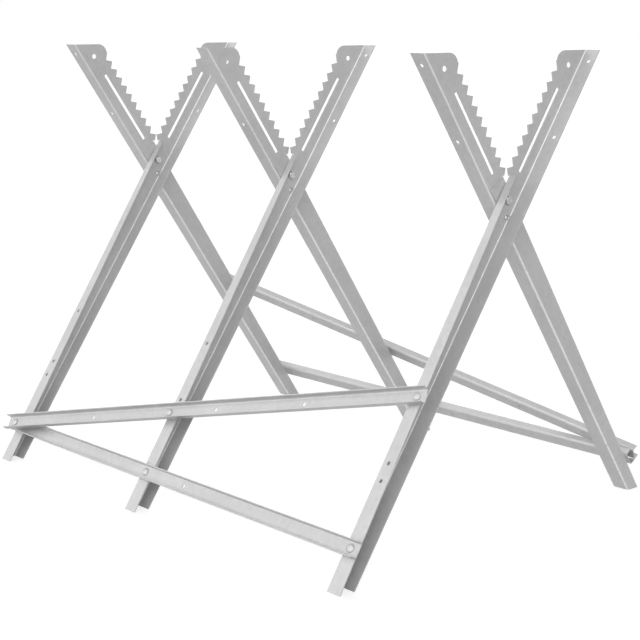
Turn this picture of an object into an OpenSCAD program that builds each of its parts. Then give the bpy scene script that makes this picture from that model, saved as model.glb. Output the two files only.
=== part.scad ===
// Folding log saw stand: three crossed pairs of folded sheet steel legs with
// toothed jaw arms, tied together by channel rails and diagonals front and back.
// Millimetres. +Z up, X along the row of frames, the front feet on the -Y side.
// Origin on the floor under the centre of the stand.

/* [Stand] */
// Height of the arm tops above the floor
stand_height = 790; // [770:1:830]
// Distance between the two outer frames, from jaw plane to jaw plane
frame_spread = 940; // [860:1:1020]
// Place of the middle frame beside the centre of the row
middle_offset = -55; // [-80:1:80]
// Distance of the folding axis below the arm tops
pivot_drop = 233; // [215:1:250]
// Lean of the arms and of the lower leg edge from the vertical, in degrees
leg_lean = 34.5; // [32:0.1:37]
// Angle between the upper and the lower edge of a leg, in degrees
leg_taper = 1.24; // [0.9:0.02:1.4]
// Space between the two crossed leg webs
web_gap = 1.2; // [1:0.1:2]

/* [Legs] */
// Thickness of the leg sheet
leg_sheet = 1.5; // [1.2:0.1:2]
// Distance of the lower flange face from the folding axis
web_below = 22.9; // [22:0.1:26]
// Distance of the upper flange face from the folding axis
web_above = 17.1; // [16.5:0.1:20]
// Width of the lower flange
lower_flange = 31; // [28:0.5:36]
// Width of the upper flange at the foot
upper_flange_foot = 30.3; // [28:0.1:34]
// Width of the upper flange at the top end
upper_flange_top = 14.6; // [12:0.1:18]
// Height of the leg's square-cut top end above the folding axis, at the upper flange
leg_rise = 38; // [34:0.5:42]
// Distance of the web's cut-back edge from the lower face, beside the arm
web_cut = 4; // [3:0.5:5.5]
// Outer radius of the folds in legs and arms
fold_radius = 2.5; // [2.2:0.1:3]

/* [Arms] */
// Thickness of the arm sheet
arm_sheet = 1.5; // [1.2:0.1:2]
// Width of the arm's flange
arm_flange = 29.4; // [26:0.1:34]
// Width of the toothed plate, from the fold to the tooth roots
plate_width = 42.3; // [40:0.1:48]
// Distance from tooth to tooth
tooth_pitch = 20; // [16:0.5:24]
// Depth of a tooth
tooth_depth = 10.3; // [8:0.1:12]
// Height of the lowest tooth tip above the folding axis
jaw_rise = 51; // [49:0.5:58]
// Length of the arm below the folding axis
arm_tail = 26; // [20:0.5:27]
// Radius of the inner top corner
corner_radius = 19; // [12:0.5:24]
// Width of the long slot
slot_width = 6; // [4:0.5:9]
// Radius in the corners of the long slot
slot_corner = 1; // [0.5:0.1:1.5]
// Distance of the slot's lower end from the folding axis, along the arm
slot_rise = 51.5; // [46:0.5:80]
// Distance of the slot's upper end from the arm top
slot_drop = 89; // [78:1:96]
// Distance of the slot and the plate hole from the fold
slot_inset = 23.8; // [20:0.1:26]
// Diameter of the hole in the plate
plate_hole = 9; // [6:0.5:12]
// Distance of the plate hole from the arm top
plate_hole_drop = 45; // [37:1:57]
// Diameter of the holes in the arm's flange
flange_hole = 6.6; // [5:0.1:9]
// Distance of the upper flange hole from the arm top
flange_hole_high = 23; // [15:1:41]
// Distance of the lower flange hole from the arm top
flange_hole_low = 167; // [121:1:200]
// Distance of the flange holes from the plate
flange_hole_inset = 17; // [12:0.5:20]

/* [Braces] */
// Thickness of the brace sheet
brace_sheet = 1.5; // [1.2:0.1:2]
// Width of the brace channel
brace_width = 27; // [25:0.5:32]
// Depth of the brace channel
brace_depth = 13.5; // [11:0.1:16]
// Outer radius of the brace folds
brace_fold = 4.5; // [3:0.1:5]
// Length of a brace beyond its end hole
brace_end = 18; // [16:0.5:22]
// Distance of the rail hole from the foot, along the leg
rail_hole = 72.5; // [60:0.5:90]
// Distance of the top hole from the foot, along the leg
high_hole = 324.5; // [300:0.5:350]
// Distance of the leg's flange holes from the web back
leg_hole_inset = 12.7; // [12:0.1:14]
// Distance of the spare holes from the end holes of a diagonal
spare_hole = 229; // [180:1:260]

/* [Fasteners] */
// Diameter of the folding bolts
pivot_bolt = 8; // [6:0.5:8]
// Size of the folding bolts' heads and nuts across the flats
pivot_hex = 13; // [12:0.5:14]
// Height of the folding bolts' heads
pivot_head = 5.3; // [4:0.1:7]
// Height of the folding bolts' nuts
pivot_nut = 8; // [6:0.1:9]
// Outside diameter of the spacer between the webs
spacer_outside = 20; // [16:0.5:24]
// Diameter of the stop pins
stop_pin = 5; // [4:0.1:5]
// Diameter of the stop pins' heads
stop_head = 8.4; // [7:0.1:8.4]
// Height of the stop pins' heads
stop_head_rise = 2.4; // [1.5:0.1:3]
// Distance of the stop pins below the folding axis
stop_drop = 28.5; // [28:0.1:29]
// Fold from open to flat that the stop slots allow, in degrees
fold_turn = 66; // [55:1:66]
// Diameter of the brace bolts
brace_bolt = 6; // [5:0.5:6]
// Diameter of the brace bolts' domed heads
dome_width = 14; // [11:0.5:14.5]
// Height of the domed heads
dome_rise = 3.6; // [2.5:0.1:5]
// Size of the brace nuts across the flats
brace_nut_hex = 10; // [9:0.5:10]
// Height of the brace nuts
brace_nut = 5; // [4:0.1:6]
// Length of the bolt end beyond its nut
bolt_end = 2; // [1:0.5:4]

/* [Fits] */
// Space between faces that lie on each other
face_gap = 0.1; // [0.05:0.05:0.2]
// Space between an arm plate and the leg's fold beside it
nest_gap = 0.3; // [0.2:0.05:0.5]
// Space around a bolt in its hole
hole_gap = 0.3; // [0.2:0.05:0.5]
// Running space around the folding bolts in the back frame
pivot_gap = 0.05; // [0.02:0.01:0.09]
// Space around the stop pins in their slots
stop_gap = 0.3; // [0.2:0.05:0.4]
// Space between an arm plate and the leg end or the pin head that it passes
plate_gap = 0.6; // [0.5:0.1:0.8]

/* [Hidden] */
$fn = 48;
far = 1400;
pivot_height = stand_height - pivot_drop;
upper_lean = leg_lean - leg_taper;
leg_top = pivot_height + leg_rise;
arm_bottom = pivot_height - arm_tail;
left_x = -frame_spread / 2;
right_x = frame_spread / 2;
inner_radius = fold_radius - leg_sheet;
arm_inner_radius = fold_radius - arm_sheet;
arm_x = leg_sheet + face_gap;
arm_face_x = arm_x + arm_sheet;
upper_length = leg_top / cos(upper_lean);

function lower_y(z) = (z - pivot_height) * tan(leg_lean) + web_below / cos(leg_lean);
function upper_y(z) = (z - pivot_height) * tan(upper_lean) - web_above / cos(upper_lean);
function along_of(y, z) = (y - lower_y(0)) * sin(leg_lean) + z * cos(leg_lean);
function along_z(along, across) = along * cos(leg_lean) + across * sin(leg_lean);
function along_y(along, across) = lower_y(0) + along * sin(leg_lean) - across * cos(leg_lean);
function at_height(z, across) = (z - across * sin(leg_lean)) / cos(leg_lean);
function spot(along, across) = [along_y(along, across), along_z(along, across)];
function upper_width(along) = upper_flange_foot
    + (upper_flange_top - upper_flange_foot) * along / upper_length;

leg_end = along_of(upper_y(leg_top), leg_top);
tip_across = plate_width + tooth_depth;
arm_top = at_height(stand_height, 0);
axis_along = pivot_height * cos(leg_lean) - lower_y(0) * sin(leg_lean);
slot_length = arm_top - slot_drop - axis_along - slot_rise;
low_tip = at_height(pivot_height + jaw_rise, tip_across);
high_tip_room = at_height(stand_height, tip_across) - low_tip;
tooth_last = floor((high_tip_room - corner_radius - tooth_pitch) / tooth_pitch);
last_root = low_tip + (tooth_last + 0.5) * tooth_pitch;
flank_spot = spot(last_root, plate_width);
flank_tilt = atan(2 * tooth_depth / tooth_pitch) - leg_lean;
function flank_y(z) = flank_spot[0] - (z - flank_spot[1]) * tan(flank_tilt);
corner_z = stand_height - corner_radius;
corner_y = flank_y(corner_z) + corner_radius / cos(flank_tilt);

hole_left = left_x + web_gap / 2 + leg_hole_inset;
hole_right = right_x + web_gap / 2 + leg_hole_inset;
hole_middle = middle_offset + web_gap / 2 + leg_hole_inset;
hole_span = hole_right - hole_left;
front_reach = hole_middle - hole_left;
back_reach = hole_right - (-middle_offset + web_gap / 2 + leg_hole_inset);
far_reach = hole_span - back_reach;
diagonal_slope = atan((high_hole - rail_hole) / hole_span);
function hole_at(reach) = rail_hole + reach * tan(diagonal_slope);
rail_rest = face_gap;
rail_outside = rail_rest + brace_depth;
clear_reach = (brace_width / 2 + brace_width / 2 / cos(diagonal_slope)) / tan(diagonal_slope);
rest_reach = upper_width(high_hole) - leg_hole_inset;
lift_rate = (rail_outside + face_gap - face_gap)
    / (hole_span - clear_reach + rest_reach);
diagonal_start = rail_outside + face_gap + lift_rate * clear_reach;
diagonal_tilt = atan(lift_rate * cos(diagonal_slope));
diagonal_step = 1 / (cos(diagonal_slope) * cos(diagonal_tilt));
function lift_at(reach) = diagonal_start - lift_rate * reach;
head_ease = dome_width / 2 * lift_rate + face_gap;
rail_seat = rail_rest + brace_sheet + face_gap;
dome_ball = (dome_width * dome_width / 4 + dome_rise * dome_rise) / (2 * dome_rise);
nut_seat = -leg_sheet - face_gap;
short_length = rail_seat - nut_seat + brace_nut + bolt_end;
long_length = diagonal_start + brace_sheet + head_ease - nut_seat + brace_nut + bolt_end;
steel = [0.74, 0.76, 0.77];
arm_steel = [0.66, 0.68, 0.69];
brace_steel = [0.78, 0.79, 0.80];
zinc = [0.70, 0.71, 0.72];
plated = [0.62, 0.63, 0.65];

// A flat sheet outline in the jaw plane, given its thickness along X.
module jaw_sheet(from, thick) {
    translate([from, 0, 0])
        rotate([90, 0, 90])
            linear_extrude(thick)
                children();
}

// Stands along the lower edge of a leg, Z up the leg, Y away from the jaw.
module lower_edge() {
    translate([0, lower_y(0), 0])
        rotate([-leg_lean, 0, 0])
            children();
}

// Stands along the upper edge of a leg, Z up the leg, Y into the channel.
module upper_edge() {
    translate([0, upper_y(0), 0])
        rotate([-upper_lean, 0, 0])
            children();
}

// What is left outside a rounded fold at a corner along Z.
module fold_waste(radius) {
    difference() {
        translate([-1, -1, -100])
            cube([radius + 1, radius + 1, far]);
        translate([radius, radius, -101])
            cylinder(r = radius, h = far + 2);
    }
}

// The metal inside a rounded fold at a corner along Z.
module fold_fill(radius) {
    difference() {
        translate([-0.2, -0.2, -100])
            cube([radius + 0.2, radius + 0.2, far]);
        translate([radius, radius, -101])
            cylinder(r = radius, h = far + 2);
    }
}

// Everything between two heights.
module height_band(low, high) {
    translate([-far, -far, low])
        cube([2 * far, 2 * far, high - low]);
}

// A round hole through the leg web or the arm plate, along X.
module cross_hole(drop, diameter) {
    translate([-5, 0, pivot_height - drop])
        rotate([0, 90, 0])
            cylinder(d = diameter, h = 20);
}

// The curved slot that a stop pin runs in when the stand is folded.
module stop_slot() {
    outer = stop_drop + stop_pin / 2 + stop_gap;
    inner = stop_drop - stop_pin / 2 - stop_gap;
    reach = outer * 2;
    translate([0, 0, pivot_height])
        jaw_sheet(-1, leg_sheet + 1.5) {
            intersection() {
                difference() {
                    circle(r = outer);
                    circle(r = inner);
                }
                polygon([[0, 0], [0, -reach],
                    [-reach * sin(fold_turn / 2), -reach * cos(fold_turn / 2)],
                    [-reach * sin(fold_turn + 8), -reach * cos(fold_turn + 8)]]);
            }
            translate([0, -stop_drop])
                circle(d = stop_pin + 2 * stop_gap);
        }
}

// Where the leg's lower flange and web edge are cut back for the arm's flange.
module arm_room() {
    intersection() {
        height_band(arm_bottom - face_gap, leg_top + far);
        lower_edge()
            translate([-far, -web_cut, -far])
                cube(2 * far);
    }
}

// One leg: a channel that narrows to the foot, standing in the front place.
module leg_shape(pivot_hole) {
    intersection() {
        height_band(0, leg_top + leg_rise);
        lower_edge()
            translate([-far, -far, -far])
                cube([2 * far, 2 * far, far + leg_end]);
        difference() {
            union() {
                jaw_sheet(0, leg_sheet)
                    polygon([[upper_y(-40), -40], [lower_y(-40), -40],
                        [lower_y(leg_top + 40), leg_top + 40],
                        [upper_y(leg_top + 40), leg_top + 40]]);
                lower_edge()
                    translate([0, -leg_sheet, -60])
                        cube([lower_flange, leg_sheet, far]);
                lower_edge()
                    translate([leg_sheet, -leg_sheet, 0])
                        mirror([0, 1, 0])
                            fold_fill(inner_radius);
                upper_edge()
                    translate([0, leg_sheet, 0])
                        rotate([90, 0, 0])
                            linear_extrude(leg_sheet)
                                polygon([[0, -60], [upper_width(-60), -60],
                                    [upper_width(upper_length + 60), upper_length + 60],
                                    [0, upper_length + 60]]);
                upper_edge()
                    translate([leg_sheet, leg_sheet, 0])
                        fold_fill(inner_radius);
            }
            lower_edge()
                mirror([0, 1, 0])
                    fold_waste(fold_radius);
            upper_edge()
                fold_waste(fold_radius);
            arm_room();
            cross_hole(0, pivot_hole);
            for (along = [rail_hole, hole_at(front_reach), hole_at(far_reach), high_hole])
                upper_edge()
                    translate([leg_hole_inset, -5, along])
                        rotate([-90, 0, 0])
                            cylinder(d = brace_bolt + 2 * hole_gap, h = 10);
        }
    }
}

// A front leg has a plain hole for the stop pin.
module front_leg() {
    difference() {
        leg_shape(pivot_bolt + 2 * hole_gap);
        cross_hole(stop_drop, stop_pin + 2 * face_gap);
    }
}

// A back leg has the curved slot for the stop pin.
module back_leg() {
    difference() {
        leg_shape(pivot_bolt + 2 * pivot_gap);
        stop_slot();
    }
}

// The long slot, hanging down from its upper end.
module slot_outline() {
    half = slot_width / 2 - slot_corner;
    translate([-slot_width / 2, -slot_length + slot_corner])
        square([slot_width, slot_length - 2 * slot_corner]);
    translate([-half, -slot_length])
        square([2 * half, slot_length]);
    for (side = [-half, half], end = [-slot_corner, slot_corner - slot_length])
        translate([side, end])
            circle(r = slot_corner);
}

// Outline of the toothed plate, before the channel's fold is cleared.
module plate_outline() {
    tail = arm_bottom - 20;
    difference() {
        polygon(concat(
            [spot(at_height(arm_bottom, 0), 0)],
            [spot(arm_top, 0)],
            [[flank_y(stand_height), stand_height]],
            [for (step = [tooth_last : -1 : 0], side = [0.5, 0])
                spot(low_tip + (step + side) * tooth_pitch,
                    side > 0 ? plate_width : tip_across)],
            [spot(low_tip - tooth_pitch / 2, plate_width)],
            [spot(at_height(arm_bottom, plate_width), plate_width)]));
        difference() {
            polygon([[corner_y, stand_height + 1], [corner_y, corner_z],
                [flank_y(corner_z - corner_radius * sin(flank_tilt)) - 4,
                    corner_z + corner_radius * sin(flank_tilt) - 0.01],
                [corner_y - 3 * corner_radius, corner_z + corner_radius * sin(flank_tilt)],
                [corner_y - 3 * corner_radius, stand_height + 1]]);
            translate([corner_y, corner_z])
                circle(r = corner_radius, $fn = 96);
        }
        polygon([
            [upper_y(tail) + (leg_sheet + inner_radius + nest_gap) / cos(upper_lean), tail],
            [upper_y(leg_top + plate_gap)
                + (leg_sheet + inner_radius + nest_gap) / cos(upper_lean), leg_top + plate_gap],
            [-far, leg_top + plate_gap],
            [-far, tail]]);
        translate([0, pivot_height - stop_drop])
            circle(d = stop_head + 2 * plate_gap);
        translate(spot(arm_top - plate_hole_drop, slot_inset))
            circle(d = plate_hole);
        translate(spot(arm_top - slot_drop, slot_inset))
            rotate(-leg_lean)
                slot_outline();
    }
}

// One arm: a toothed plate with a flange along its lower edge.
module arm_shape(pivot_hole) {
    difference() {
        union() {
            jaw_sheet(arm_x, arm_sheet)
                plate_outline();
            intersection() {
                height_band(arm_bottom, stand_height);
                lower_edge() {
                    translate([arm_x, -arm_sheet, -60])
                        cube([arm_flange, arm_sheet, far]);
                    translate([arm_face_x, -arm_sheet, 0])
                        mirror([0, 1, 0])
                            fold_fill(arm_inner_radius);
                }
            }
        }
        lower_edge()
            translate([arm_x, 0, 0])
                mirror([0, 1, 0])
                    fold_waste(fold_radius);
        cross_hole(0, pivot_hole);
        for (drop = [flange_hole_high, flange_hole_low])
            lower_edge()
                translate([arm_x + flange_hole_inset, 3, arm_top - drop])
                    rotate([90, 0, 0])
                        cylinder(d = flange_hole, h = 8);
    }
}

// The channel section of the braces: X across, Y out from the leg.
module channel_section() {
    difference() {
        channel_outline(brace_width, brace_fold, 0);
        channel_outline(brace_width - 2 * brace_sheet, brace_fold - brace_sheet, brace_sheet);
    }
}

module channel_outline(width, radius, base) {
    reach = brace_depth - base + (base > 0 ? 1 : 0);
    translate([-width / 2, base + radius])
        square([width, reach - radius]);
    translate([-width / 2 + radius, base])
        square([width - 2 * radius, reach]);
    for (side = [-1, 1])
        translate([side * (width / 2 - radius), base + radius])
            circle(r = radius);
}

// A brace along X from its first hole, lying against the XZ plane.
module brace_shape(length, holes) {
    difference() {
        translate([-brace_end, 0, 0])
            rotate([90, 0, 0])
                rotate([90, 0, 90])
                    linear_extrude(length + 2 * brace_end)
                        channel_section();
        for (place = holes)
            translate([place, 5, 0])
                rotate([90, 0, 0])
                    cylinder(d = brace_bolt + 2 * hole_gap, h = 12);
    }
}

// The straight rail low across the three front legs.
module rail_shape() {
    upper_edge()
        translate([hole_left, -rail_rest, rail_hole])
            brace_shape(hole_span, [0, front_reach, far_reach, hole_span]);
}

// The diagonal, resting on the rail at its low end and on a leg at its high end.
module diagonal_shape() {
    length = hole_span * diagonal_step;
    upper_edge()
        translate([hole_left, -diagonal_start, rail_hole])
            rotate([0, -diagonal_slope, 0])
                rotate([0, 0, diagonal_tilt])
                    brace_shape(length, [0, spare_hole, front_reach * diagonal_step,
                        far_reach * diagonal_step, length - spare_hole, length]);
}

// A round-headed bolt through a leg flange, its head facing out from the leg.
module dome_bolt(reach, along, seat, length) {
    upper_edge()
        translate([hole_left + reach, -seat, along])
            rotate([90, 0, 0]) {
                intersection() {
                    translate([0, 0, dome_rise - dome_ball])
                        sphere(r = dome_ball);
                    cylinder(d = dome_width + 2, h = dome_rise + 1);
                }
                translate([0, 0, -length])
                    cylinder(d = brace_bolt, h = length + dome_rise / 2);
            }
}

// A hexagon nut on a brace bolt, inside the leg channel.
module flange_nut(reach, along) {
    upper_edge()
        translate([hole_left + reach, -nut_seat, along])
            rotate([-90, 0, 0])
                difference() {
                    cylinder(d = brace_nut_hex / cos(30), h = brace_nut, $fn = 6);
                    translate([0, 0, -1])
                        cylinder(d = brace_bolt + 2 * face_gap, h = brace_nut + 2);
                }
}

// The short bolts: two in the rail and one at the top of the diagonal.
module short_bolts(reach) {
    dome_bolt(reach, rail_hole, rail_seat, short_length);
    dome_bolt(hole_span, rail_hole, rail_seat, short_length);
    dome_bolt(hole_span, high_hole, lift_at(hole_span) + brace_sheet + head_ease, short_length);
}

// The long bolts: one through rail and diagonal, one through the raised diagonal.
module long_bolts(reach) {
    dome_bolt(0, rail_hole, diagonal_start + brace_sheet + head_ease, long_length);
    dome_bolt(reach, hole_at(reach), lift_at(reach) + brace_sheet + head_ease, long_length);
}

module brace_nuts(reach) {
    for (place = [0, reach, hole_span])
        flange_nut(place, rail_hole);
    flange_nut(reach, hole_at(reach));
    flange_nut(hole_span, high_hole);
}

// Puts a front piece beside the jaw plane of one frame.
module at_front(place) {
    translate([place + web_gap / 2, 0, 0])
        children();
}

// Puts a piece of the front shape in the back place of one frame.
module at_back(place) {
    translate([place, 0, 0])
        rotate([0, 0, 180])
            translate([web_gap / 2, 0, 0])
                children();
}

// Repeats a piece at the folding axis of each frame.
module at_frames() {
    for (place = [left_x, middle_offset, right_x])
        translate([place, 0, pivot_height])
            rotate([0, 90, 0])
                children();
}

module front_leg_left() {
    color(steel)
        at_front(left_x)
            front_leg();
}

module front_leg_middle() {
    color(steel)
        at_front(middle_offset)
            front_leg();
}

module front_leg_right() {
    color(steel)
        at_front(right_x)
            front_leg();
}

module back_leg_left() {
    color(steel)
        at_back(left_x)
            back_leg();
}

module back_leg_middle() {
    color(steel)
        at_back(middle_offset)
            back_leg();
}

module back_leg_right() {
    color(steel)
        at_back(right_x)
            back_leg();
}

module front_arm_left() {
    color(arm_steel)
        at_front(left_x)
            arm_shape(pivot_bolt + 2 * hole_gap);
}

module front_arm_middle() {
    color(arm_steel)
        at_front(middle_offset)
            arm_shape(pivot_bolt + 2 * hole_gap);
}

module front_arm_right() {
    color(arm_steel)
        at_front(right_x)
            arm_shape(pivot_bolt + 2 * hole_gap);
}

module back_arm_left() {
    color(arm_steel)
        at_back(left_x)
            arm_shape(pivot_bolt + 2 * pivot_gap);
}

module back_arm_middle() {
    color(arm_steel)
        at_back(middle_offset)
            arm_shape(pivot_bolt + 2 * pivot_gap);
}

module back_arm_right() {
    color(arm_steel)
        at_back(right_x)
            arm_shape(pivot_bolt + 2 * pivot_gap);
}

module front_rail() {
    color(brace_steel)
        rail_shape();
}

module front_diagonal() {
    color(brace_steel)
        diagonal_shape();
}

module back_rail() {
    color(brace_steel)
        rotate([0, 0, 180])
            rail_shape();
}

module back_diagonal() {
    color(brace_steel)
        rotate([0, 0, 180])
            diagonal_shape();
}

module pivot_bolts() {
    seat = web_gap / 2 + arm_face_x + face_gap;
    color(zinc)
        at_frames() {
            translate([0, 0, seat])
                cylinder(d = pivot_hex / cos(30), h = pivot_head, $fn = 6);
            translate([0, 0, -seat - pivot_nut - bolt_end])
                cylinder(d = pivot_bolt, h = 2 * seat + pivot_nut + bolt_end + 1);
        }
}

module pivot_nuts() {
    seat = web_gap / 2 + arm_face_x + face_gap;
    color(plated)
        at_frames()
            translate([0, 0, -seat - pivot_nut])
                difference() {
                    cylinder(d = pivot_hex / cos(30), h = pivot_nut, $fn = 6);
                    translate([0, 0, -1])
                        cylinder(d = pivot_bolt + 2 * face_gap, h = pivot_nut + 2);
                }
}

module pivot_spacers() {
    color(plated)
        at_frames()
            translate([0, 0, -web_gap / 2 + face_gap])
                difference() {
                    cylinder(d = spacer_outside, h = web_gap - 2 * face_gap);
                    translate([0, 0, -1])
                        cylinder(d = pivot_bolt + 2 * hole_gap, h = web_gap + 2);
                }
}

module stop_pins() {
    seat = web_gap / 2 + leg_sheet + face_gap;
    color(zinc)
        at_frames()
            translate([stop_drop, 0, 0]) {
                translate([0, 0, seat])
                    cylinder(d = stop_head, h = stop_head_rise);
                translate([0, 0, -web_gap / 2 - leg_sheet + 0.2])
                    cylinder(d = stop_pin, h = web_gap + 2 * leg_sheet + 1);
            }
}

module front_short_bolts() {
    color(zinc)
        short_bolts(front_reach);
}

module front_long_bolts() {
    color(zinc)
        long_bolts(front_reach);
}

module front_brace_nuts() {
    color(plated)
        brace_nuts(front_reach);
}

module back_short_bolts() {
    color(zinc)
        rotate([0, 0, 180])
            short_bolts(far_reach);
}

module back_long_bolts() {
    color(zinc)
        rotate([0, 0, 180])
            long_bolts(far_reach);
}

module back_brace_nuts() {
    color(plated)
        rotate([0, 0, 180])
            brace_nuts(far_reach);
}

front_leg_left();
front_leg_middle();
front_leg_right();
back_leg_left();
back_leg_middle();
back_leg_right();
front_arm_left();
front_arm_middle();
front_arm_right();
back_arm_left();
back_arm_middle();
back_arm_right();
front_rail();
front_diagonal();
back_rail();
back_diagonal();
pivot_bolts();
pivot_nuts();
pivot_spacers();
stop_pins();
front_short_bolts();
front_long_bolts();
front_brace_nuts();
back_short_bolts();
back_long_bolts();
back_brace_nuts();
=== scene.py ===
"""Studio scene of a folding log saw stand made of folded galvanised sheet steel.

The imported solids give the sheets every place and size. The folded sheets are
finished here with broken edges and a galvanised surface, and the fasteners are
turned in full, with chamfers and threads, at the same places and sizes.
"""
import logging
import math
from dataclasses import dataclass
from enum import Enum
from typing import Callable, Dict, List, Optional, Sequence, Tuple

import bmesh
import bpy
from mathutils import Matrix, Vector


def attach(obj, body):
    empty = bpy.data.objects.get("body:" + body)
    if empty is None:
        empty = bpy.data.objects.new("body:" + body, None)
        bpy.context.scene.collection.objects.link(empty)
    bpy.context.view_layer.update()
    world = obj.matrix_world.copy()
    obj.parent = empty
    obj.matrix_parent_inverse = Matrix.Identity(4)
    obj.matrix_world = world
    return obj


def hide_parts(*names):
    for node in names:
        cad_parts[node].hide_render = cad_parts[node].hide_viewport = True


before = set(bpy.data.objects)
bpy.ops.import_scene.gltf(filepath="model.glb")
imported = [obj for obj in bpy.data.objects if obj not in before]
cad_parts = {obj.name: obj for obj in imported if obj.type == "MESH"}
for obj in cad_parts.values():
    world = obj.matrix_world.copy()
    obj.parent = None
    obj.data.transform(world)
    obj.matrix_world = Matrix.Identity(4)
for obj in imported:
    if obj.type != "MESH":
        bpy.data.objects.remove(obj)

LOG = logging.getLogger("log_saw_stand")
MM = 0.001
LEG_LEAN = math.radians(34.5)
EDGE_LAYER = "edge_wear"
# Faces of the folds, which get a painted highlight in their colour and a smoother finish.
FOLD_LAYER = "fold_line"
# Most values of a noise pattern lie between these two.
NOISE_LOW = 0.3
NOISE_HIGH = 0.7
# Points of a fastener that lie closer than this, in millimetres, are one point.
MERGE_MM = 1e-4
# Points of a thread that lie this close to its end, in millimetres, are on it.
CUT_MM = 1e-5
# Decimals by which the points of one ring are told apart.
SPOT_DIGITS = 5
# Steps in each rounded edge.
ROUND_STEPS = 2
# How far large faces lead small ones in the shading where they meet, where 50 is even.
FLAT_FACE_WEIGHT = 100
# A hexagon's washer face ends, and its turned chamfer starts, at this share of its flats.
FLAT_SHARE = 0.94
# Drop of a hexagon's turned chamfer for each unit of radius.
CHAMFER_FALL = 0.55
# How much thinner a shank is in radius than the bolt's size, in millimetres.
SHANK_EASE = 0.03
# How much wider a nut's bore is in radius than the bolt's size, in millimetres.
BORE_EASE = 0.12

Colour = Tuple[float, float, float, float]
Point = Tuple[float, float]
Ring = Callable[[float], Point]


class Side(Enum):
    """The two halves of the stand that turn about the folding bolts."""

    FRONT = "front"
    BACK = "back"

    @property
    def body(self) -> str:
        """Name of the moving body that carries this half."""
        return f"{self.value}_frame"

    @property
    def lean(self) -> float:
        """Lean of this half's legs and arms from the vertical, about the long axis."""
        return LEG_LEAN if self is Side.FRONT else -LEG_LEAN

    @property
    def spin(self) -> float:
        """Turn about the vertical that takes the front half's place to this half."""
        return 0.0 if self is Side.FRONT else math.pi


class Place(Enum):
    """The three crossed frames, and how far each jaw plane is from the middle in millimetres."""

    LEFT = -470.0
    MIDDLE = -55.0
    RIGHT = 470.0

    @property
    def word(self) -> str:
        """The word that names this frame's pieces."""
        return self.name.lower()


def linear(code: str) -> Colour:
    """Turns an sRGB hex colour into the linear values that shaders take.

    Args:
        code: six hex digits.

    Returns:
        Red, green, blue and an alpha of one.
    """
    values = [int(code[i:i + 2], 16) / 255 for i in (0, 2, 4)]
    values = [v / 12.92 if v <= 0.04045 else ((v + 0.055) / 1.055) ** 2.4 for v in values]
    return (values[0], values[1], values[2], 1.0)


def add_node(tree: bpy.types.NodeTree, kind: str, links: Optional[Dict] = None,
             **settings: object) -> bpy.types.Node:
    """Adds one node, sets it up and links it.

    Args:
        tree: the node tree that takes the node.
        kind: the node's type name.
        links: input name or number to a value, or to the output that feeds it.
        **settings: properties of the node itself.

    Returns:
        The new node.
    """
    node = tree.nodes.new(kind)
    for name, value in settings.items():
        setattr(node, name, value)
    for key, value in (links or {}).items():
        if isinstance(value, bpy.types.NodeSocket):
            tree.links.new(value, node.inputs[key])
        else:
            node.inputs[key].default_value = value
    return node


def new_tree(name: str) -> Tuple[bpy.types.Material, bpy.types.NodeTree]:
    """Starts an empty node material.

    Args:
        name: the material's name.

    Returns:
        The material and its node tree.
    """
    material = bpy.data.materials.new(name)
    material.use_nodes = True
    material.node_tree.nodes.clear()
    return material, material.node_tree


def seen_rays(tree: bpy.types.NodeTree) -> bpy.types.NodeSocket:
    """Finds the rays that look at the studio, straight or in a mirror or through glass.

    Args:
        tree: the node tree.

    Returns:
        An output that is one on those rays and nought on the rays that only carry light.
    """
    path = add_node(tree, "ShaderNodeLightPath")
    seen = path.outputs["Is Camera Ray"]
    for kind in ("Is Glossy Ray", "Is Transmission Ray"):
        either = add_node(tree, "ShaderNodeMath", {0: seen, 1: path.outputs[kind]}, operation="MAXIMUM")
        seen = either.outputs[0]
    return seen


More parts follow.
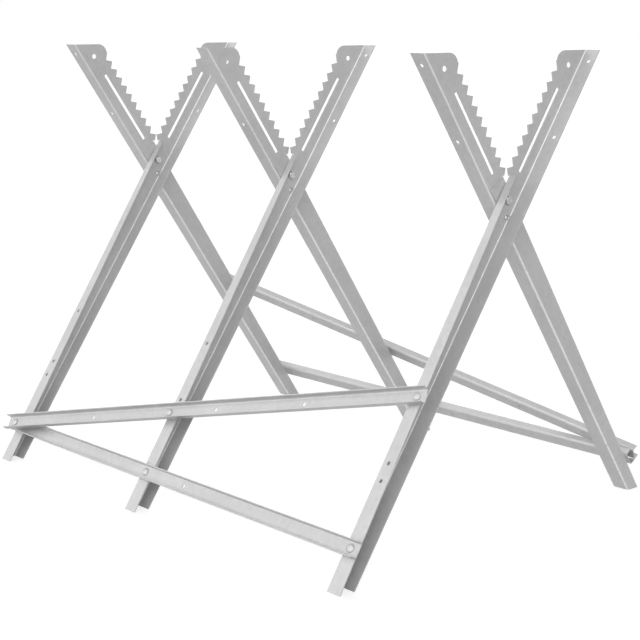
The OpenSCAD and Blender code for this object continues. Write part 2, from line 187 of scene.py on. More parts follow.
@dataclass(frozen=True)
class GalvanisedSheet:
    """Hot-dip galvanised cold-rolled steel sheet, folded after coating.

    The zinc skin gives the eye a pale satin grey, faint crystal spangles a few
    millimetres wide, soft clouds from handling, fine rolling lines that run along
    each folded part and a brighter rubbed line on every sheared edge. Along each
    fold the colour is painted lighter as a painted highlight, and the zinc there
    is burnished a little smoother.
    """

    name: str
    turn: Tuple[float, float, float] = (0.0, 0.0, 0.0)
    base: str = "CACACA"
    metallic: float = 0.22
    roughness: float = 0.38
    spangle_mm: float = 7.0
    spangle_tint: float = 0.03
    spangle_gloss: float = 0.05
    cloud_mm: float = 110.0
    cloud_tint: float = 0.045
    cloud_detail: float = 3.0
    # Real rolling lines lie a few tenths of a millimetre apart: drawn coarser, so that they show.
    line_mm: float = 1.6
    line_length_mm: float = 220.0
    line_detail: float = 2.0
    line_gloss: float = 0.06
    line_bump: float = 0.05
    line_depth_mm: float = 0.4
    edge_tint: float = 0.10
    # Painted highlight: how much lighter the colour is painted on the fold strips.
    painted_fold_highlight: float = 0.55
    fold_gloss: float = -0.14

    def material(self) -> bpy.types.Material:
        """Builds the shader, with the rolling lines along the part's own length.

        Returns:
            The finished material.
        """
        material, tree = new_tree(self.name)
        place = add_node(tree, "ShaderNodeTexCoord")
        along = add_node(tree, "ShaderNodeMapping", {
            "Vector": place.outputs["Object"], "Rotation": self.turn})
        spangle = add_node(tree, "ShaderNodeTexVoronoi", {
            "Vector": along.outputs[0], "Scale": 1 / (self.spangle_mm * MM)})
        crystal = add_node(tree, "ShaderNodeSeparateColor", {0: spangle.outputs["Color"]})
        cloud = add_node(tree, "ShaderNodeTexNoise", {
            "Vector": along.outputs[0], "Scale": 1 / (self.cloud_mm * MM), "Detail": self.cloud_detail})
        across = 1 / (self.line_mm * MM)
        stretch = add_node(tree, "ShaderNodeMapping", {
            "Vector": along.outputs[0], "Scale": (across, across, 1 / (self.line_length_mm * MM))})
        lines = add_node(tree, "ShaderNodeTexNoise", {
            "Vector": stretch.outputs[0], "Scale": 1.0, "Detail": self.line_detail})
        edge = add_node(tree, "ShaderNodeAttribute", attribute_name=EDGE_LAYER)
        fold = add_node(tree, "ShaderNodeAttribute", attribute_name=FOLD_LAYER)
        crystal_tone = add_node(tree, "ShaderNodeMapRange", {
            "Value": crystal.outputs[0],
            "To Min": 1 - self.spangle_tint, "To Max": 1 + self.spangle_tint})
        cloud_tone = add_node(tree, "ShaderNodeMapRange", {
            "Value": cloud.outputs["Fac"], "From Min": NOISE_LOW, "From Max": NOISE_HIGH,
            "To Min": 1 - self.cloud_tint, "To Max": 1 + self.cloud_tint})
        tone = add_node(tree, "ShaderNodeMath", {
            0: crystal_tone.outputs[0], 1: cloud_tone.outputs[0]}, operation="MULTIPLY")
        rubbed = add_node(tree, "ShaderNodeMath", {
            0: edge.outputs["Fac"], 1: self.edge_tint, 2: tone.outputs[0]}, operation="MULTIPLY_ADD")
        # Painted highlight: the fold strips are painted lighter, on top of the rubbed edges.
        with_fold_highlight = add_node(tree, "ShaderNodeMath", {
            0: fold.outputs["Fac"], 1: self.painted_fold_highlight, 2: rubbed.outputs[0]}, operation="MULTIPLY_ADD")
        colour = add_node(tree, "ShaderNodeVectorMath", {
            0: linear(self.base)[:3], "Scale": with_fold_highlight.outputs[0]}, operation="SCALE")
        line_gloss = add_node(tree, "ShaderNodeMapRange", {
            "Value": lines.outputs["Fac"], "From Min": NOISE_LOW, "From Max": NOISE_HIGH,
            "To Min": self.roughness - self.line_gloss, "To Max": self.roughness + self.line_gloss})
        crystal_gloss = add_node(tree, "ShaderNodeMath", {
            0: crystal.outputs[1], 1: self.spangle_gloss, 2: line_gloss.outputs[0]},
            operation="MULTIPLY_ADD")
        gloss = add_node(tree, "ShaderNodeMath", {
            0: fold.outputs["Fac"], 1: self.fold_gloss, 2: crystal_gloss.outputs[0]},
            operation="MULTIPLY_ADD")
        bump = add_node(tree, "ShaderNodeBump", {
            "Strength": self.line_bump, "Distance": self.line_depth_mm * MM,
            "Height": lines.outputs["Fac"]})
        shader = add_node(tree, "ShaderNodeBsdfPrincipled", {
            "Base Color": colour.outputs[0], "Metallic": self.metallic, "Roughness": gloss.outputs[0],
            "Normal": bump.outputs[0]})
        add_node(tree, "ShaderNodeOutputMaterial", {0: shader.outputs[0]})
        return material


@dataclass(frozen=True)
class ZincPlate:
    """Electroplated zinc on cold-headed steel fasteners.

    On the brace bolts it is a pale satin, on the folding bolts it is brighter and
    smoother than the sheet, and both have a fine mottle from the bath.
    """

    name: str
    base: str = "CECFD0"
    metallic: float = 0.40
    roughness: float = 0.52
    # The real mottle is finer than a millimetre: drawn coarser, so that it shows.
    mottle_mm: float = 1.8
    mottle_tint: float = 0.08
    mottle_detail: float = 3.0
    smoother: float = 0.05
    rougher: float = 0.08

    def material(self) -> bpy.types.Material:
        """Builds the shader.

        Returns:
            The finished material.
        """
        material, tree = new_tree(self.name)
        place = add_node(tree, "ShaderNodeTexCoord")
        mottle = add_node(tree, "ShaderNodeTexNoise", {
            "Vector": place.outputs["Object"], "Scale": 1 / (self.mottle_mm * MM),
            "Detail": self.mottle_detail})
        tone = add_node(tree, "ShaderNodeMapRange", {
            "Value": mottle.outputs["Fac"], "From Min": NOISE_LOW, "From Max": NOISE_HIGH,
            "To Min": 1 - self.mottle_tint, "To Max": 1 + self.mottle_tint})
        colour = add_node(tree, "ShaderNodeVectorMath", {
            0: linear(self.base)[:3], "Scale": tone.outputs[0]}, operation="SCALE")
        gloss = add_node(tree, "ShaderNodeMapRange", {
            "Value": mottle.outputs["Fac"], "From Min": NOISE_LOW, "From Max": NOISE_HIGH,
            "To Min": self.roughness - self.smoother, "To Max": self.roughness + self.rougher})
        shader = add_node(tree, "ShaderNodeBsdfPrincipled", {
            "Base Color": colour.outputs[0], "Metallic": self.metallic, "Roughness": gloss.outputs[0]})
        add_node(tree, "ShaderNodeOutputMaterial", {0: shader.outputs[0]})
        return material


@dataclass(frozen=True)
class MattWhite:
    """Matt white paper of the studio floor.

    A camera or a mirror sees it lifted to paper white, and it keeps the soft shadow.
    """

    name: str
    tone: str = "B4B4B4"
    lift: float = 0.72

    def material(self) -> bpy.types.Material:
        """Builds the shader.

        Returns:
            The finished material.
        """
        material, tree = new_tree(self.name)
        glow = add_node(tree, "ShaderNodeMath", {0: seen_rays(tree), 1: self.lift}, operation="MULTIPLY")
        matt = add_node(tree, "ShaderNodeBsdfDiffuse", {"Color": linear(self.tone)})
        lit = add_node(tree, "ShaderNodeEmission", {"Color": (1, 1, 1, 1), "Strength": glow.outputs[0]})
        both = add_node(tree, "ShaderNodeAddShader", {0: matt.outputs[0], 1: lit.outputs[0]})
        add_node(tree, "ShaderNodeOutputMaterial", {0: both.outputs[0]})
        return material


def dress(piece: bpy.types.Object, material: bpy.types.Material) -> None:
    """Gives an object one material in place of what it had.

    Args:
        piece: the object.
        material: the finish it takes.
    """
    piece.data.materials.clear()
    piece.data.materials.append(material)


def settle(shape: bmesh.types.BMesh, name: str, crease: float = 35.0) -> bpy.types.Object:
    """Makes a finished object of a shape, smooth apart from its creases.

    Args:
        shape: the mesh in metres, freed here.
        name: the object's name.
        crease: angle in degrees above which an edge stays crisp.

    Returns:
        The linked object, at the origin.
    """
    mesh = bpy.data.meshes.new(name)
    shape.to_mesh(mesh)
    shape.free()
    mesh.polygons.foreach_set("use_smooth", [True] * len(mesh.polygons))
    mesh.set_sharp_from_angle(angle=math.radians(crease))
    piece = bpy.data.objects.new(name, mesh)
    bpy.context.scene.collection.objects.link(piece)
    weigh = piece.modifiers.new("flat_faces_lead", "WEIGHTED_NORMAL")
    weigh.keep_sharp = True
    weigh.weight = FLAT_FACE_WEIGHT
    return piece


def round_of(radius: float, height: float) -> Ring:
    """Gives a round ring.

    Args:
        radius: the ring's radius.
        height: its height along the fastener.

    Returns:
        The ring as a function of the angle round the fastener.
    """
    def ring(angle: float) -> Point:
        """Gives the same radius and height at every angle."""
        return (radius, height)
    return ring


def hex_of(flats: float, height: float, flat_radius: float = 0.0, fall: float = 0.0) -> Ring:
    """Gives a six-sided ring whose corners drop off as a turned chamfer cuts them.

    Args:
        flats: size across the flats.
        height: height of the uncut ring.
        flat_radius: radius where the chamfer starts.
        fall: drop for each unit of radius past that start.

    Returns:
        The ring as a function of the angle round the fastener.
    """
    def ring(angle: float) -> Point:
        """Gives the radius and height at one angle."""
        radius = flats / 2 / math.cos(angle % (math.pi / 3) - math.pi / 6)
        return (radius, height - fall * max(0.0, radius - flat_radius))
    return ring


def stack(shape: bmesh.types.BMesh, rings: Sequence[Ring], segments: int = 48) -> None:
    """Draws a skin through rings, one after the other, and closes it.

    Args:
        shape: the mesh that takes the skin.
        rings: the rings in order; where the last lies on the first the skin closes on itself.
        segments: points round each ring.
    """
    loop = bmesh.ops.create_circle(shape, cap_ends=False, segments=segments, radius=1.0)["verts"]
    angles = {v: math.atan2(v.co.y, v.co.x) for v in loop}
    edges = list({e for v in loop for e in v.link_edges})
    for number, ring in enumerate(rings):
        if number:
            spots = {tuple(round(c, SPOT_DIGITS) for c in v.co): a for v, a in angles.items()}
            made = bmesh.ops.extrude_edge_only(shape, edges=edges)["geom"]
            fresh = [g for g in made if isinstance(g, bmesh.types.BMVert)]
            angles = {v: spots[tuple(round(c, SPOT_DIGITS) for c in v.co)] for v in fresh}
            edges = [g for g in made if isinstance(g, bmesh.types.BMEdge)
                     and g.verts[0] in angles and g.verts[1] in angles]
        for vert, angle in angles.items():
            radius, height = ring(angle)
            vert.co = (radius * math.cos(angle), radius * math.sin(angle), height)
    bmesh.ops.remove_doubles(shape, verts=shape.verts, dist=MERGE_MM)
    rims = [e for e in shape.edges if e.is_boundary]
    if rims:
        bmesh.ops.holes_fill(shape, edges=rims, sides=0)
    bmesh.ops.recalc_face_normals(shape, faces=shape.faces)


def thread(shape: bmesh.types.BMesh, major: float, minor: float, pitch: float,
           low: float, high: float) -> None:
    """Cuts a screw thread as one closed helical skin.

    Args:
        shape: the mesh that takes the thread.
        major: crest radius.
        minor: root radius.
        pitch: advance in one turn.
        low: lower end of the thread.
        high: upper end of the thread.
    """
    steps = 24
    spare_turns = 2
    # Radius of each corner of the thread's profile, and its rise as a share of the pitch.
    profile = ((minor, 0.0), (minor, 0.12), (major, 0.44), (major, 0.68))
    own = bmesh.new()
    points: List[bmesh.types.BMVert] = []
    for turn in range(math.ceil((high - low) / pitch) + spare_turns + 1):
        base = low + (turn - spare_turns) * pitch
        for radius, rise in profile:
            points.append(own.verts.new((radius, 0.0, base + rise * pitch)))
    edges = [own.edges.new(pair) for pair in zip(points, points[1:])]
    bmesh.ops.spin(own, geom=points + edges, cent=(0, 0, 0), axis=(0, 0, 1), dvec=(0, 0, pitch / steps),
                   angle=math.tau, steps=steps, use_merge=False, use_duplicate=False)
    bmesh.ops.remove_doubles(own, verts=own.verts, dist=MERGE_MM)
    for height, up in ((low, 1.0), (high, -1.0)):
        bmesh.ops.bisect_plane(own, geom=own.verts[:] + own.edges[:] + own.faces[:], dist=CUT_MM,
                               plane_co=(0, 0, height), plane_no=(0, 0, up), clear_inner=True)
    bmesh.ops.holes_fill(own, edges=[e for e in own.edges if e.is_boundary], sides=0)
    bmesh.ops.recalc_face_normals(own, faces=own.faces)
    mesh = bpy.data.meshes.new("thread")
    own.to_mesh(mesh)
    own.free()
    shape.from_mesh(mesh)
    bpy.data.meshes.remove(mesh)


def ease(shape: bmesh.types.BMesh, width: float, angle: float) -> List[bmesh.types.BMFace]:
    """Rounds every crisp edge of a shape.

    Args:
        shape: the mesh.
        width: width of the rounding.
        angle: angle in degrees from which an edge counts as crisp.

    Returns:
        The faces of the roundings.
    """
    crisp = [e for e in shape.edges if e.is_manifold and e.calc_face_angle() > math.radians(angle)]
    made = bmesh.ops.bevel(shape, geom=crisp, offset=width, offset_type="OFFSET", affect="EDGES",
                           segments=ROUND_STEPS, profile=0.5, material=-1, clamp_overlap=True)
    return made["faces"]


def copies(one: bmesh.types.BMesh, places: Sequence[Matrix], name: str) -> bpy.types.Object:
    """Sets copies of one fastener in their places as a single piece.

    Args:
        one: the fastener in millimetres, its head along Z and its seat at zero; freed here.
        places: where each copy goes, in metres.
        name: the piece's name.

    Returns:
        The piece.
    """
    single = bpy.data.meshes.new(name + "_one")
    one.to_mesh(single)
    one.free()
    whole = bmesh.new()
    for place in places:
        start = len(whole.verts)
        whole.from_mesh(single)
        whole.verts.ensure_lookup_table()
        bmesh.ops.transform(whole, matrix=place @ Matrix.Scale(MM, 4), verts=whole.verts[start:])
    bpy.data.meshes.remove(single)
    return settle(whole, name)


def mount(piece: bpy.types.Object, node: str, body: str, material: bpy.types.Material) -> None:
    """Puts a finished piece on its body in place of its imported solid.

    Args:
        piece: the finished piece.
        node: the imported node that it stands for.
        body: the body that carries it.
        material: its finish.
    """
    dress(piece, material)
    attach(piece, body)
    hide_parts(node)
    LOG.info("%s: %d faces on %s", piece.name, len(piece.data.polygons), body)


@dataclass
class FoldedSheet:
    """One part sheared and folded from sheet, with its sheared edges broken.

    Sizes are in millimetres and angles in degrees.
    """

    node: str
    side: Side
    slot: str
    weld: float = 0.002
    flat: float = 0.4
    edge_break: float = 0.3
    crisp: float = 40.0
    fold_step: float = 3.0
    fold_strip: float = 2.5
    fold_long: float = 30.0

    def build(self, material: bpy.types.Material) -> None:
        """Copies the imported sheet, merges its flats and breaks its sheared edges.

        Args:
            material: the sheet's finish.
        """
        shape = bmesh.new()
        shape.from_mesh(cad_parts[self.node].data)
        bmesh.ops.remove_doubles(shape, verts=shape.verts, dist=self.weld * MM)
        bmesh.ops.dissolve_limit(shape, angle_limit=math.radians(self.flat), use_dissolve_boundaries=False,
                                 verts=shape.verts, edges=shape.edges)
        fold = shape.faces.layers.float.new(FOLD_LAYER)
        edge = shape.faces.layers.float.new(EDGE_LAYER)
        # Marks the fold strips for their painted highlight and smoother finish.
        for face in [f for f in shape.faces if self._in_fold(f)]:
            face[fold] = 1.0
        for face in ease(shape, self.edge_break * MM, self.crisp):
            face[fold] = 0.0
            face[edge] = 1.0
        piece = settle(shape, self.node + "_sheet", self.crisp)
        mount(piece, self.node, self.side.body, material)

    def _in_fold(self, face: bmesh.types.BMFace) -> bool:
        """Tells whether a face is one of the long narrow strips that make up a fold.

        Args:
            face: the face.

        Returns:
            True on a fold.
        """
        longest = max(face.edges, key=lambda e: e.calc_length())
        if longest.calc_length() < self.fold_long * MM or not longest.is_manifold:
            return False
        bend = math.degrees(longest.calc_face_angle())
        narrow = face.calc_area() / longest.calc_length() < self.fold_strip * MM
        return narrow and self.fold_step < bend < self.crisp


@dataclass
class CrossedFrames:
    """The three pairs of crossed legs with their toothed arms."""

    leg_slot: str = "leg_sheet"
    arm_slot: str = "arm_sheet"

    def build(self) -> None:
        """Builds and dresses every leg and arm."""
        for side in Side:
            finish = GalvanisedSheet(f"galvanised_{side.value}_legs", (side.lean, 0.0, 0.0)).material()
            for place in Place:
                FoldedSheet(f"{side.value}_leg_{place.word}", side, self.leg_slot).build(finish)
                FoldedSheet(f"{side.value}_arm_{place.word}", side, self.arm_slot).build(finish)


def dome(radius: float, rise: float, rim: float, steps: int = 9) -> List[Ring]:
    """Gives the rings of a domed head from its crown to its underside.

    Args:
        radius: the head's radius.
        rise: the head's height.
        rim: height of the upright rim below the dome.
        steps: rings on the dome.

    Returns:
        The rings.
    """
    # The first ring is a part of a step off the axis, and closes as a small flat.
    first = 0.35
    lip = 0.15
    arc = [math.pi / 2 * (i + first) / (steps + first) for i in range(steps + 1)]
    crown = [round_of(radius * math.sin(a), rim + (rise - rim) * math.cos(a)) for a in arc]
    return crown + [round_of(radius, lip), round_of(radius - lip, 0.0)]


@dataclass
class FoldingAxis:
    """Bolts, lock nuts and spacers that the halves fold on, and the pins that stop them.

    Sizes are in millimetres, and a share is of the radius that it narrows.
    """

    height: float = 557.0
    hex_flats: float = 13.0
    bolt: float = 8.0
    bolt_long: float = 17.6
    pitch: float = 1.25
    head_high: float = 5.3
    head_seat: float = 3.8
    dish_deep: float = 0.25
    dish_floor_share: float = 0.72
    dish_rim_share: float = 0.8
    washer_high: float = 0.4
    neck: float = 0.5
    plain_in_nut: float = 1.5
    run_out: float = 0.6
    core_share: float = 0.84
    root_share: float = 0.83
    point_share: float = 0.7
    point_long: float = 0.7
    thread_low: float = 0.5
    thread_high: float = 0.3
    nut_seat: float = -3.8
    nut_high: float = 8.0
    nut_hex_high: float = 5.6
    collar: float = 11.4
    collar_step: float = 0.2
    # Steps of the rolled collar: in from its outside, and up from its end.
    collar_roll: Tuple[Point, ...] = ((0.0, 1.1), (0.5, 0.3), (1.2, 0.0))
    mouth_wide: float = 0.4
    mouth_high: float = 0.2
    mouth_long: float = 0.7
    spacer_outside: float = 20.0
    spacer_bore: float = 8.6
    spacer_thick: float = 1.0
    pin: float = 5.0
    pin_head: float = 8.4
    pin_rise: float = 2.4
    pin_rim: float = 0.5
    pin_seat: float = 2.2
    pin_long: float = 4.1
    pin_chamfer: float = 0.4
    pin_segments: int = 40
    pin_drop: float = 28.5

    def places(self, along: float, drop: float = 0.0) -> List[Matrix]:
        """Places on the three frames, heads towards +X.

        Args:
            along: distance past the jaw plane in millimetres.
            drop: distance below the folding axis in millimetres.

        Returns:
            One placing for each frame.
        """
        face = Matrix.Rotation(math.pi / 2, 4, "Y")
        return [Matrix.Translation(Vector((place.value + along, 0.0, self.height - drop)) * MM) @ face
                for place in Place]

    def build(self, zinc: bpy.types.Material) -> None:
        """Builds and dresses the fasteners of the fold.

        Args:
            zinc: the fasteners' finish.
        """
        parts = (("pivot_bolts", self._bolt, self.places(self.head_seat), "bolt_zinc"),
                 ("pivot_nuts", self._nut, self.places(self.nut_seat), "nut_zinc"),
                 ("pivot_spacers", self._spacer, self.places(-self.spacer_thick / 2), "nut_zinc"),
                 ("stop_pins", self._pin, self.places(self.pin_seat, self.pin_drop), "bolt_zinc"))
        for node, make, places, slot in parts:
            shape = bmesh.new()
            make(shape)
            mount(copies(shape, places, node + "_turned"), node, Side.FRONT.body, zinc)

    def _bolt(self, shape: bmesh.types.BMesh) -> None:
        """Makes a hexagon bolt with a dished head, a washer face and a turned chamfer.

        Args:
            shape: the mesh that takes the bolt.
        """
        flat = self.hex_flats / 2 * FLAT_SHARE
        shank = self.bolt / 2 - SHANK_EASE
        core = shank * self.core_share
        top = self.head_high
        plain = -self.head_seat + self.nut_seat + self.plain_in_nut
        stack(shape, [
            round_of(flat * self.dish_floor_share, top - self.dish_deep),
            round_of(flat * self.dish_rim_share, top),
            round_of(flat, top),
            hex_of(self.hex_flats, top, flat, CHAMFER_FALL),
            hex_of(self.hex_flats, self.washer_high),
            round_of(flat, self.washer_high),
            round_of(flat, 0.0),
            round_of(shank + self.neck, 0.0),
            round_of(shank, -self.neck),
            round_of(shank, plain),
            round_of(core, plain - self.run_out),
            round_of(core, -self.bolt_long + self.point_long),
            round_of(shank * self.point_share, -self.bolt_long)])
        ease(shape, width=0.14, angle=24.0)
        thread(shape, shank, shank * self.root_share, self.pitch,
               -self.bolt_long + self.thread_low, plain - self.thread_high)

    def _nut(self, shape: bmesh.types.BMesh) -> None:
        """Makes a lock nut with a rolled collar.

        Args:
            shape: the mesh that takes the nut.
        """
        bore = self.bolt / 2 + BORE_EASE
        flat = self.hex_flats / 2 * FLAT_SHARE
        joint = -self.nut_hex_high
        end = -self.nut_high
        collar = self.collar / 2
        stack(shape, [
            round_of(bore, 0.0),
            round_of(flat, 0.0),
            hex_of(self.hex_flats, 0.0, flat, CHAMFER_FALL),
            hex_of(self.hex_flats, joint, flat, -self.collar_step),
            round_of(collar, joint - self.collar_step),
            *[round_of(collar - inward, end + up) for inward, up in self.collar_roll],
            round_of(bore + self.mouth_wide, end + self.mouth_high),
            round_of(bore, end + self.mouth_long),
            round_of(bore, 0.0)])
        ease(shape, width=0.12, angle=28.0)

    def _spacer(self, shape: bmesh.types.BMesh) -> None:
        """Makes a flat spacer ring with broken edges.

        Args:
            shape: the mesh that takes the spacer.
        """
        outer = self.spacer_outside / 2
        bore = self.spacer_bore / 2
        thick = self.spacer_thick
        stack(shape, [round_of(bore, 0.0), round_of(outer, 0.0), round_of(outer, thick),
                      round_of(bore, thick), round_of(bore, 0.0)])
        ease(shape, width=0.12, angle=40.0)

    def _pin(self, shape: bmesh.types.BMesh) -> None:
        """Makes a stop pin with a domed head.

        Args:
            shape: the mesh that takes the pin.
        """
        radius = self.pin / 2
        stack(shape, dome(self.pin_head / 2, self.pin_rise, self.pin_rim) + [
            round_of(radius, 0.0),
            round_of(radius, -self.pin_long + self.pin_chamfer),
            round_of(radius - self.pin_chamfer, -self.pin_long)], self.pin_segments)


@dataclass
class BraceSet:
    """The rail and the rising diagonal of one half, with their bolts and nuts.

    Sizes are in millimetres, angles in radians, and a share is of the radius that it narrows.
    """

    side: Side
    slope: float = math.radians(15.0)
    face_lean: float = math.radians(33.26)
    face_foot: float = -385.76
    first_bolt: float = -456.7
    far_reach: float = 940.0
    rail_along: float = 72.5
    high_along: float = 324.5
    rail_seat: float = 1.7
    high_seat: float = 1.98
    shared_seat: float = 17.06
    nut_seat: float = -1.6
    bolt: float = 6.0
    pitch: float = 1.0
    short_long: float = 10.3
    long_long: float = 25.66
    head: float = 14.0
    head_rise: float = 3.6
    head_rim: float = 1.0
    neck: float = 0.4
    plain_long: float = 1.4
    run_out: float = 0.5
    core_share: float = 0.83
    root_share: float = 0.82
    point_share: float = 0.68
    point_long: float = 0.6
    thread_low: float = 0.4
    thread_high: float = 1.6
    nut_flats: float = 10.0
    nut_high: float = 5.0
    mouth: float = 0.4
    # Wide folds with a fainter painted highlight and less smoothing than the legs have.
    painted_fold_highlight: float = 0.12
    fold_gloss: float = -0.04

    @property
    def middle_reach(self) -> float:
        """Distance from the first bolt to the middle frame's bolts."""
        return 415.0 if self.side is Side.FRONT else 525.0

    @property
    def middle_along(self) -> float:
        """Distance up the middle leg to the diagonal's bolt."""
        return 183.8 if self.side is Side.FRONT else 213.2

    @property
    def middle_seat(self) -> float:
        """Stand-off of the diagonal's middle bolt head from the leg."""
        return 10.40 if self.side is Side.FRONT else 8.64

    def place(self, reach: float, along: float, seat: float) -> Matrix:
        """Places a fastener on the legs' outer face, its head outwards.

        Args:
            reach: distance from the first bolt along the stand.
            along: distance up the leg.
            seat: distance out from the leg's face.

        Returns:
            The placing in metres.
        """
        side = Vector((1.0, 0.0, 0.0))
        up = Vector((0.0, math.sin(self.face_lean), math.cos(self.face_lean)))
        out = Vector((0.0, -math.cos(self.face_lean), math.sin(self.face_lean)))
        spot = Vector((self.first_bolt + reach, self.face_foot, 0.0)) + up * along + out * seat
        face = Matrix((side, out.cross(side), out)).transposed().to_4x4()
        return Matrix.Rotation(self.side.spin, 4, "Z") @ Matrix.Translation(spot * MM) @ face

    def build(self, zinc: bpy.types.Material) -> None:
        """Builds and dresses the braces and their fasteners.

        Args:
            zinc: the fasteners' finish.
        """
        self._sheets()
        self._fasteners(zinc)

    def _sheets(self) -> None:
        """Builds and dresses the rail and the diagonal, with rolling lines along each."""
        flip = 1 if self.side is Side.FRONT else -1
        for kind, slope in (("rail", 0.0), ("diagonal", self.slope)):
            turn = (flip * self.face_lean, flip * (slope - math.pi / 2), self.side.spin)
            finish = GalvanisedSheet(f"galvanised_{self.side.value}_{kind}", turn,
                                     painted_fold_highlight=self.painted_fold_highlight, fold_gloss=self.fold_gloss)
            FoldedSheet(f"{self.side.value}_{kind}", self.side, "brace_sheet").build(finish.material())

    def _fasteners(self, zinc: bpy.types.Material) -> None:
        """Builds and dresses the bolts and nuts.

        Args:
            zinc: their finish.
        """
        middle, far = self.middle_reach, self.far_reach
        rail, high, rising = self.rail_along, self.high_along, self.middle_along
        short = [self.place(middle, rail, self.rail_seat), self.place(far, rail, self.rail_seat),
                 self.place(far, high, self.high_seat)]
        long = [self.place(0.0, rail, self.shared_seat), self.place(middle, rising, self.middle_seat)]
        nuts = [self.place(reach, along, self.nut_seat) for reach, along in (
            (0.0, rail), (middle, rail), (far, rail), (middle, rising), (far, high))]
        parts = (("short_bolts", self._bolt, self.short_long, short, "bolt_zinc"),
                 ("long_bolts", self._bolt, self.long_long, long, "bolt_zinc"),
                 ("brace_nuts", self._nut, self.nut_high, nuts, "nut_zinc"))
        for kind, make, length, spots, slot in parts:
            shape = bmesh.new()
            make(shape, length)
            node = f"{self.side.value}_{kind}"
            mount(copies(shape, spots, node + "_turned"), node, self.side.body, zinc)

    def _bolt(self, shape: bmesh.types.BMesh, length: float) -> None:
        """Makes a dome-headed bolt, threaded to just under its head.

        Args:
            shape: the mesh that takes the bolt.
            length: the bolt's length under its head.
        """
        shank = self.bolt / 2 - SHANK_EASE
        core = shank * self.core_share
        stack(shape, dome(self.head / 2, self.head_rise, self.head_rim) + [
            round_of(shank + self.neck, 0.0),
            round_of(shank, -self.neck),
            round_of(shank, -self.plain_long),
            round_of(core, -self.plain_long - self.run_out),
            round_of(core, -length + self.point_long),
            round_of(shank * self.point_share, -length)])
        thread(shape, shank, shank * self.root_share, self.pitch,
               -length + self.thread_low, -self.thread_high)

    def _nut(self, shape: bmesh.types.BMesh, height: float) -> None:
        """Makes a hexagon nut chamfered on both faces.

        Args:
            shape: the mesh that takes the nut.
            height: the nut's height.
        """
        bore = self.bolt / 2 + BORE_EASE
        flat = self.nut_flats / 2 * FLAT_SHARE
        stack(shape, [
            round_of(bore + self.mouth, 0.0),
            round_of(flat, 0.0),
            hex_of(self.nut_flats, 0.0, flat, CHAMFER_FALL),
            hex_of(self.nut_flats, -height, flat, -CHAMFER_FALL),
            round_of(flat, -height),
            round_of(bore + self.mouth, -height),
            round_of(bore, -height + self.mouth),
            round_of(bore, -self.mouth),
            round_of(bore + self.mouth, 0.0)])
        ease(shape, width=0.1, angle=28.0)


@dataclass
class Camera:
    """The camera at the photograph's viewpoint, in metres and radians."""

    place: Tuple[float, float, float] = (2.07061, -1.83549, 0.84494)
    yaw: float = math.radians(48.05)
    dip: float = math.radians(11.29)
    focal_px: float = 1525.48
    frame_px: int = 640
    sensor_mm: float = 36.0
    far_clip: float = 200.0

    def build(self) -> None:
        """Makes the scene's camera."""
        data = bpy.data.cameras.new("camera")
        data.sensor_width = self.sensor_mm
        data.sensor_fit = "HORIZONTAL"
        data.lens = self.focal_px / self.frame_px * self.sensor_mm
        data.clip_end = self.far_clip
        camera = bpy.data.objects.new("camera", data)
        bpy.context.scene.collection.objects.link(camera)
        look = Vector((-math.sin(self.yaw) * math.cos(self.dip),
                       math.cos(self.yaw) * math.cos(self.dip), -math.sin(self.dip)))
        camera.location = self.place
        camera.rotation_euler = look.to_track_quat("-Z", "Y").to_euler()
        bpy.context.scene.camera = camera


@dataclass(frozen=True)
class Lamp:
    """One wide soft studio lamp, which falls evenly on the whole stand."""

    name: str
    come_from: Tuple[float, float, float]
    power: float
    spread: float = math.radians(70.0)
    distance: float = 4.0

    def build(self) -> None:
        """Hangs the lamp."""
        data = bpy.data.lights.new(self.name, "SUN")
        data.energy = self.power
        data.angle = self.spread
        lamp = bpy.data.objects.new(self.name, data)
        bpy.context.scene.collection.objects.link(lamp)
        lamp.location = Vector(self.come_from) * self.distance
        lamp.rotation_euler = (-Vector(self.come_from)).to_track_quat("-Z", "Y").to_euler()


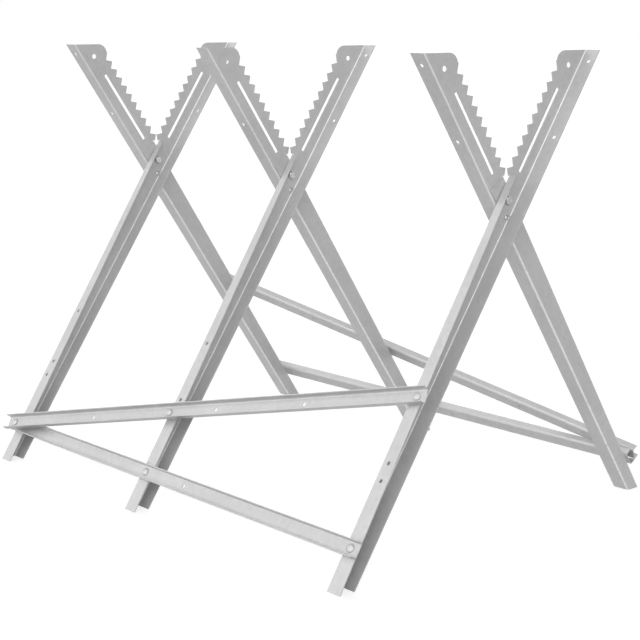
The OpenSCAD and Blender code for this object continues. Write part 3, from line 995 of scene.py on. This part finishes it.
@dataclass
class Studio:
    """Pale floor, soft lights and a plain white surround."""

    floor_half: float = 40.0
    sky_low: float = 0.06
    sky_high: float = 0.08
    sky_high_from: float = 0.7
    lamps: Tuple[Lamp, ...] = (
        Lamp("front_left_light", (-0.45, -0.85, 0.25), 1.30),
        Lamp("front_right_light", (0.50, -0.70, 0.50), 0.95),
        Lamp("right_light", (0.80, -0.45, 0.35), 1.02),
        Lamp("back_left_light", (-0.50, 0.70, 0.50), 1.25),
        Lamp("left_light", (-0.80, 0.45, 0.35), 0.85))

    def build(self) -> None:
        """Makes the floor, the surround and the lamps."""
        bpy.context.scene.view_settings.view_transform = "Standard"
        self._floor()
        self._surround()
        for lamp in self.lamps:
            lamp.build()

    def _floor(self) -> None:
        """Lays the floor."""
        shape = bmesh.new()
        bmesh.ops.create_grid(shape, x_segments=1, y_segments=1, size=self.floor_half)
        mesh = bpy.data.meshes.new("floor")
        shape.to_mesh(mesh)
        shape.free()
        floor = bpy.data.objects.new("floor", mesh)
        bpy.context.scene.collection.objects.link(floor)
        dress(floor, MattWhite("matt_white_floor").material())

    def _surround(self) -> None:
        """Sets a white surround whose own light is soft and a little brighter overhead."""
        world = bpy.data.worlds.new("surround")
        bpy.context.scene.world = world
        world.use_nodes = True
        tree = world.node_tree
        tree.nodes.clear()
        place = add_node(tree, "ShaderNodeTexCoord")
        axes = add_node(tree, "ShaderNodeSeparateXYZ", {0: place.outputs["Generated"]})
        sky = add_node(tree, "ShaderNodeMapRange", {
            "Value": axes.outputs[2], "From Min": 0.0, "From Max": self.sky_high_from,
            "To Min": self.sky_low, "To Max": self.sky_high})
        level = add_node(tree, "ShaderNodeMath", {
            0: seen_rays(tree), 1: sky.outputs[0]}, operation="MAXIMUM")
        back = add_node(tree, "ShaderNodeBackground", {"Color": (1, 1, 1, 1), "Strength": level.outputs[0]})
        add_node(tree, "ShaderNodeOutputWorld", {0: back.outputs[0]})


def main() -> None:
    """Builds the stand's pieces and the studio."""
    logging.basicConfig(level=logging.INFO, format="%(message)s")
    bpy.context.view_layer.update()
    Camera().build()
    CrossedFrames().build()
    bright = ZincPlate("bright_zinc_plate", base="BFC0C2", metallic=1.0, roughness=0.30).material()
    FoldingAxis().build(bright)
    satin = ZincPlate("satin_zinc_plate").material()
    for side in Side:
        BraceSet(side).build(satin)
    Studio().build()


if __name__ == "__main__":
    main()
